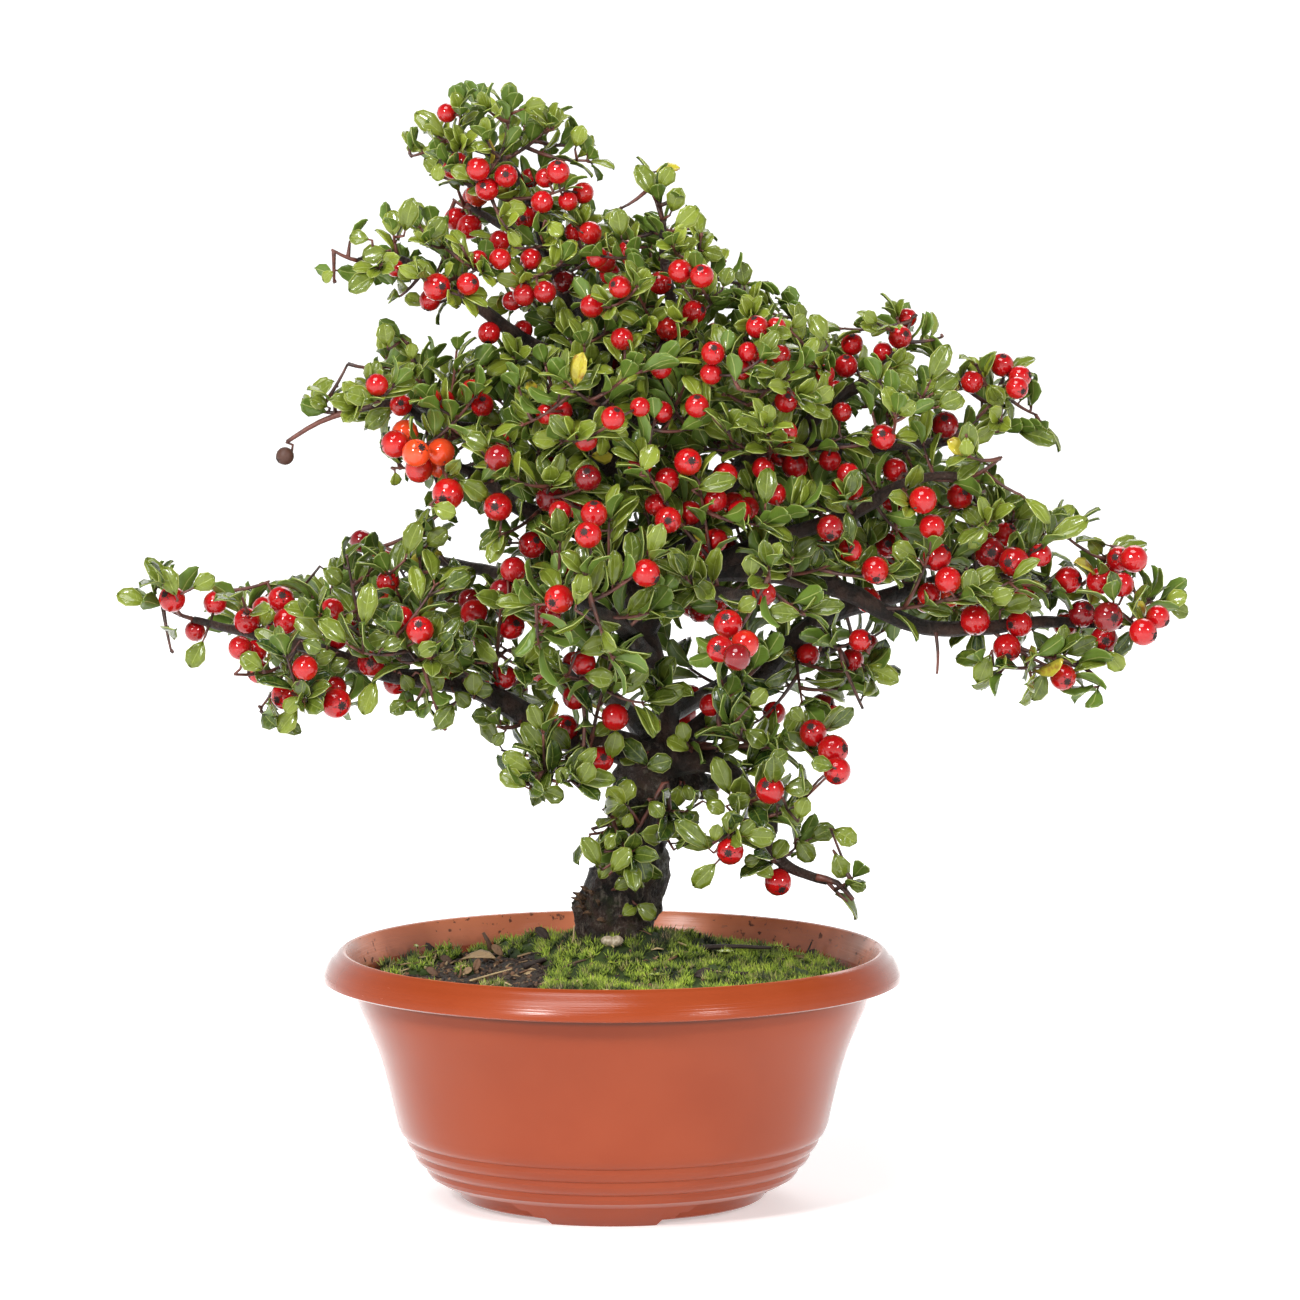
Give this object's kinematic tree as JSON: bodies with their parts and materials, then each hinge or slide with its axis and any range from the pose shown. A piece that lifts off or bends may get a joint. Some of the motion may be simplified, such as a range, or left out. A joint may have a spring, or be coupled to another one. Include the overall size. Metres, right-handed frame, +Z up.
{
  "type": "potted bonsai tree",
  "caption": "Small-leaved evergreen bonsai with red berries, open branched crown on a short trunk, standing in mossy soil in a round flared plastic bowl on low feet.",
  "frame": {"origin": "middle of the pot's footprint, at the height of the surface it stands on; the underside of the pot's floor is 1.5 mm above it", "axes": "+Z up along the pot's axis, -Y towards the tree's front as pictured, +X to the right in that view"},
  "size_m": [0.344, 0.1933, 0.3694],
  "materials": {
    "pot_plastic": "satin",
    "soil": "matte",
    "moss": "matte",
    "bark": "matte",
    "leaf": "satin",
    "stone": "matte",
    "litter": "matte"
  },
  "bodies": {
    "root": {"pot": "pot_plastic", "soil": "soil", "moss": "moss", "trunk_and_branches": "bark", "stone": "stone", "fallen_twig": "litter", "dead_leaf": "litter", "spray_arm_front": "leaf", "spray_arm_inner_front": "leaf", "spray_arm_low": "leaf", "spray_arm_rise": "leaf", "spray_arm_tip": "leaf", "spray_arm_top": "leaf", "spray_back_arm_left_tip": "leaf", "spray_back_arm_right_tip": "leaf", "spray_back_crown_tip": "leaf", "spray_back_high_left_tip": "leaf", "spray_back_high_tip": "leaf", "spray_back_left_high_tip": "leaf", "spray_back_left_tip": "leaf", "spray_back_low_right_tip": "leaf", "spray_back_low_tip": "leaf", "spray_back_mid_tip": "leaf", "spray_back_right_high_tip": "leaf", "spray_back_right_tip": "leaf", "spray_back_top_tip": "leaf", "spray_centre_left": "leaf", "spray_centre_low": "leaf", "spray_centre_right": "leaf", "spray_centre_top": "leaf", "spray_crossing_shoot": "leaf", "spray_crown_front": "leaf", "spray_crown_shoot": "leaf", "spray_crown_side": "leaf", "spray_front_right_tip": "leaf", "spray_front_tip": "leaf", "spray_high_front": "leaf", "spray_high_mid": "leaf", "spray_high_tip": "leaf", "spray_left_foot": "leaf", "spray_left_front": "leaf", "spray_left_high_front": "leaf", "spray_left_high_tip": "leaf", "spray_left_neck": "leaf", "spray_left_outer_low": "leaf", "spray_left_outer_top": "leaf", "spray_left_rise": "leaf", "spray_left_rise_inner": "leaf", "spray_left_tip": "leaf", "spray_low_level": "leaf", "spray_low_right_near": "leaf", "spray_low_right_tip": "leaf", "spray_right_under": "leaf", "spray_shelf_tip": "leaf", "spray_top_front": "leaf", "spray_top_left": "leaf", "spray_top_right": "leaf", "spray_trunk_left": "leaf", "spray_upper_left_rise": "leaf", "spray_upper_left_tip": "leaf"}
  },
  "joints": []
}
